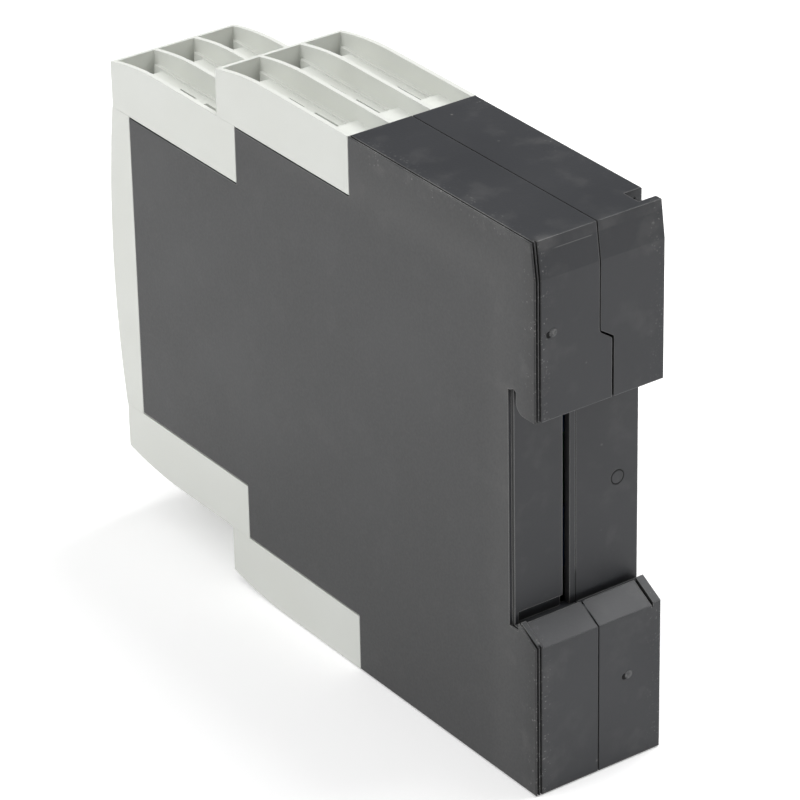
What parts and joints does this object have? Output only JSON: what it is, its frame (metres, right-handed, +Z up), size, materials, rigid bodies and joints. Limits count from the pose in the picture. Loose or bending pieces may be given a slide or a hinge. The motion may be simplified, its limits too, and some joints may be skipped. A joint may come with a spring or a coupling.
{
  "type": "phase monitoring relay",
  "caption": "Slim rail-mounted phase monitoring relay: black two-part housing with rail hook, light grey stepped screw-terminal blocks above and below, crowned front cover with dials.",
  "frame": {"origin": "on the flat bottom, midway across the width and midway along the depth", "axes": "+X to the right seen from the front cover, +Y from the front cover back to the rail, +Z up"},
  "size_m": [0.0226, 0.108, 0.088],
  "materials": {
    "black_plastic": "fine matt grain",
    "light_grey_plastic": "smooth satin",
    "zinc_plated_steel": "zinc plated",
    "brass": "blanked strip",
    "board_laminate": "solder resist",
    "relay_case": "sealed case",
    "ferrite": "pressed and ground",
    "film_capacitor_case": "potted box",
    "capacitor_can": "drawn can",
    "dark_moulding": "moulded",
    "trimmer_case": "moulded",
    "clear_moulding": "clear polymer",
    "dial_plastic": "smooth"
  },
  "bodies": {
    "relay": {"board_connector": "dark_moulding", "controller_chip": "dark_moulding", "film_capacitor": "film_capacitor_case", "front_circuit_board": "board_laminate", "front_cover": "light_grey_plastic", "left_housing_half": "black_plastic", "light_pipe": "clear_moulding", "lower_front_contact_bars": "brass", "lower_front_terminal_block": "light_grey_plastic", "lower_output_relay": "relay_case", "lower_rear_contact_bars": "brass", "lower_rear_terminal_block": "light_grey_plastic", "main_circuit_board": "board_laminate", "right_housing_half": "black_plastic", "smoothing_capacitor": "capacitor_can", "status_leds": "clear_moulding", "supply_transformer": "ferrite", "trimmer_bodies": "trimmer_case", "upper_front_contact_bars": "brass", "upper_front_terminal_block": "light_grey_plastic", "upper_output_relay": "relay_case", "upper_rear_contact_bars": "brass", "upper_rear_terminal_block": "light_grey_plastic"},
    "upper_rear_left_screw": {"upper_rear_left_screw": "zinc_plated_steel"},
    "upper_rear_left_cage": {"upper_rear_left_cage": "zinc_plated_steel"},
    "upper_rear_middle_screw": {"upper_rear_middle_screw": "zinc_plated_steel"},
    "upper_rear_middle_cage": {"upper_rear_middle_cage": "zinc_plated_steel"},
    "upper_rear_right_screw": {"upper_rear_right_screw": "zinc_plated_steel"},
    "upper_rear_right_cage": {"upper_rear_right_cage": "zinc_plated_steel"},
    "upper_front_left_screw": {"upper_front_left_screw": "zinc_plated_steel"},
    "upper_front_left_cage": {"upper_front_left_cage": "zinc_plated_steel"},
    "upper_front_middle_screw": {"upper_front_middle_screw": "zinc_plated_steel"},
    "upper_front_middle_cage": {"upper_front_middle_cage": "zinc_plated_steel"},
    "upper_front_right_screw": {"upper_front_right_screw": "zinc_plated_steel"},
    "upper_front_right_cage": {"upper_front_right_cage": "zinc_plated_steel"},
    "lower_rear_left_screw": {"lower_rear_left_screw": "zinc_plated_steel"},
    "lower_rear_left_cage": {"lower_rear_left_cage": "zinc_plated_steel"},
    "lower_rear_middle_screw": {"lower_rear_middle_screw": "zinc_plated_steel"},
    "lower_rear_middle_cage": {"lower_rear_middle_cage": "zinc_plated_steel"},
    "lower_rear_right_screw": {"lower_rear_right_screw": "zinc_plated_steel"},
    "lower_rear_right_cage": {"lower_rear_right_cage": "zinc_plated_steel"},
    "lower_front_left_screw": {"lower_front_left_screw": "zinc_plated_steel"},
    "lower_front_left_cage": {"lower_front_left_cage": "zinc_plated_steel"},
    "lower_front_middle_screw": {"lower_front_middle_screw": "zinc_plated_steel"},
    "lower_front_middle_cage": {"lower_front_middle_cage": "zinc_plated_steel"},
    "lower_front_right_screw": {"lower_front_right_screw": "zinc_plated_steel"},
    "lower_front_right_cage": {"lower_front_right_cage": "zinc_plated_steel"},
    "unbalance_dial": {"unbalance_dial": "dial_plastic"},
    "delay_dial": {"delay_dial": "dial_plastic"}
  },
  "joints": [
    {"name": "upper_rear_left_screw_turn", "type": "hinge", "parent": "relay", "child": "upper_rear_left_screw", "pos_m": [-0.00725, -0.0189, 0.08163], "axis": [0, 1, 0], "range_deg": [0, 1800]},
    {"name": "upper_rear_left_cage_draw", "type": "slide", "parent": "relay", "child": "upper_rear_left_cage", "axis": [0, -1, 0], "range_m": [0, 0.0025]},
    {"name": "upper_rear_middle_screw_turn", "type": "hinge", "parent": "relay", "child": "upper_rear_middle_screw", "pos_m": [0, -0.0189, 0.08163], "axis": [0, 1, 0], "range_deg": [0, 1800]},
    {"name": "upper_rear_middle_cage_draw", "type": "slide", "parent": "relay", "child": "upper_rear_middle_cage", "axis": [0, -1, 0], "range_m": [0, 0.0025]},
    {"name": "upper_rear_right_screw_turn", "type": "hinge", "parent": "relay", "child": "upper_rear_right_screw", "pos_m": [0.00725, -0.0189, 0.08163], "axis": [0, 1, 0], "range_deg": [0, 1800]},
    {"name": "upper_rear_right_cage_draw", "type": "slide", "parent": "relay", "child": "upper_rear_right_cage", "axis": [0, -1, 0], "range_m": [0, 0.0025]},
    {"name": "upper_front_left_screw_turn", "type": "hinge", "parent": "relay", "child": "upper_front_left_screw", "pos_m": [-0.00725, -0.0479, 0.07246], "axis": [0, 1, 0], "range_deg": [0, 1800]},
    {"name": "upper_front_left_cage_draw", "type": "slide", "parent": "relay", "child": "upper_front_left_cage", "axis": [0, -1, 0], "range_m": [0, 0.0025]},
    {"name": "upper_front_middle_screw_turn", "type": "hinge", "parent": "relay", "child": "upper_front_middle_screw", "pos_m": [0, -0.0479, 0.07246], "axis": [0, 1, 0], "range_deg": [0, 1800]},
    {"name": "upper_front_middle_cage_draw", "type": "slide", "parent": "relay", "child": "upper_front_middle_cage", "axis": [0, -1, 0], "range_m": [0, 0.0025]},
    {"name": "upper_front_right_screw_turn", "type": "hinge", "parent": "relay", "child": "upper_front_right_screw", "pos_m": [0.00725, -0.0479, 0.07246], "axis": [0, 1, 0], "range_deg": [0, 1800]},
    {"name": "upper_front_right_cage_draw", "type": "slide", "parent": "relay", "child": "upper_front_right_cage", "axis": [0, -1, 0], "range_m": [0, 0.0025]},
    {"name": "lower_rear_left_screw_turn", "type": "hinge", "parent": "relay", "child": "lower_rear_left_screw", "pos_m": [-0.00725, -0.0189, 0.00637], "axis": [0, 1, 0], "range_deg": [0, 1800]},
    {"name": "lower_rear_left_cage_draw", "type": "slide", "parent": "relay", "child": "lower_rear_left_cage", "axis": [0, -1, 0], "range_m": [0, 0.0025]},
    {"name": "lower_rear_middle_screw_turn", "type": "hinge", "parent": "relay", "child": "lower_rear_middle_screw", "pos_m": [0, -0.0189, 0.00637], "axis": [0, 1, 0], "range_deg": [0, 1800]},
    {"name": "lower_rear_middle_cage_draw", "type": "slide", "parent": "relay", "child": "lower_rear_middle_cage", "axis": [0, -1, 0], "range_m": [0, 0.0025]},
    {"name": "lower_rear_right_screw_turn", "type": "hinge", "parent": "relay", "child": "lower_rear_right_screw", "pos_m": [0.00725, -0.0189, 0.00637], "axis": [0, 1, 0], "range_deg": [0, 1800]},
    {"name": "lower_rear_right_cage_draw", "type": "slide", "parent": "relay", "child": "lower_rear_right_cage", "axis": [0, -1, 0], "range_m": [0, 0.0025]},
    {"name": "lower_front_left_screw_turn", "type": "hinge", "parent": "relay", "child": "lower_front_left_screw", "pos_m": [-0.00725, -0.0479, 0.01554], "axis": [0, 1, 0], "range_deg": [0, 1800]},
    {"name": "lower_front_left_cage_draw", "type": "slide", "parent": "relay", "child": "lower_front_left_cage", "axis": [0, -1, 0], "range_m": [0, 0.0025]},
    {"name": "lower_front_middle_screw_turn", "type": "hinge", "parent": "relay", "child": "lower_front_middle_screw", "pos_m": [0, -0.0479, 0.01554], "axis": [0, 1, 0], "range_deg": [0, 1800]},
    {"name": "lower_front_middle_cage_draw", "type": "slide", "parent": "relay", "child": "lower_front_middle_cage", "axis": [0, -1, 0], "range_m": [0, 0.0025]},
    {"name": "lower_front_right_screw_turn", "type": "hinge", "parent": "relay", "child": "lower_front_right_screw", "pos_m": [0.00725, -0.0479, 0.01554], "axis": [0, 1, 0], "range_deg": [0, 1800]},
    {"name": "lower_front_right_cage_draw", "type": "slide", "parent": "relay", "child": "lower_front_right_cage", "axis": [0, -1, 0], "range_m": [0, 0.0025]},
    {"name": "unbalance_dial_turn", "type": "hinge", "parent": "relay", "child": "unbalance_dial", "pos_m": [0, -0.052, 0.049], "axis": [0, 1, 0], "range_deg": [-150, 150]},
    {"name": "delay_dial_turn", "type": "hinge", "parent": "relay", "child": "delay_dial", "pos_m": [0, -0.052, 0.031], "axis": [0, 1, 0], "range_deg": [-150, 150]}
  ],
  "couplings": [
    {"joint": "upper_rear_left_screw_turn", "follows": "upper_rear_left_cage_draw", "rad_per_m": 12566},
    {"joint": "upper_rear_middle_screw_turn", "follows": "upper_rear_middle_cage_draw", "rad_per_m": 12566},
    {"joint": "upper_rear_right_screw_turn", "follows": "upper_rear_right_cage_draw", "rad_per_m": 12566},
    {"joint": "upper_front_left_screw_turn", "follows": "upper_front_left_cage_draw", "rad_per_m": 12566},
    {"joint": "upper_front_middle_screw_turn", "follows": "upper_front_middle_cage_draw", "rad_per_m": 12566},
    {"joint": "upper_front_right_screw_turn", "follows": "upper_front_right_cage_draw", "rad_per_m": 12566},
    {"joint": "lower_rear_left_screw_turn", "follows": "lower_rear_left_cage_draw", "rad_per_m": 12566},
    {"joint": "lower_rear_middle_screw_turn", "follows": "lower_rear_middle_cage_draw", "rad_per_m": 12566},
    {"joint": "lower_rear_right_screw_turn", "follows": "lower_rear_right_cage_draw", "rad_per_m": 12566},
    {"joint": "lower_front_left_screw_turn", "follows": "lower_front_left_cage_draw", "rad_per_m": 12566},
    {"joint": "lower_front_middle_screw_turn", "follows": "lower_front_middle_cage_draw", "rad_per_m": 12566},
    {"joint": "lower_front_right_screw_turn", "follows": "lower_front_right_cage_draw", "rad_per_m": 12566}
  ]
}
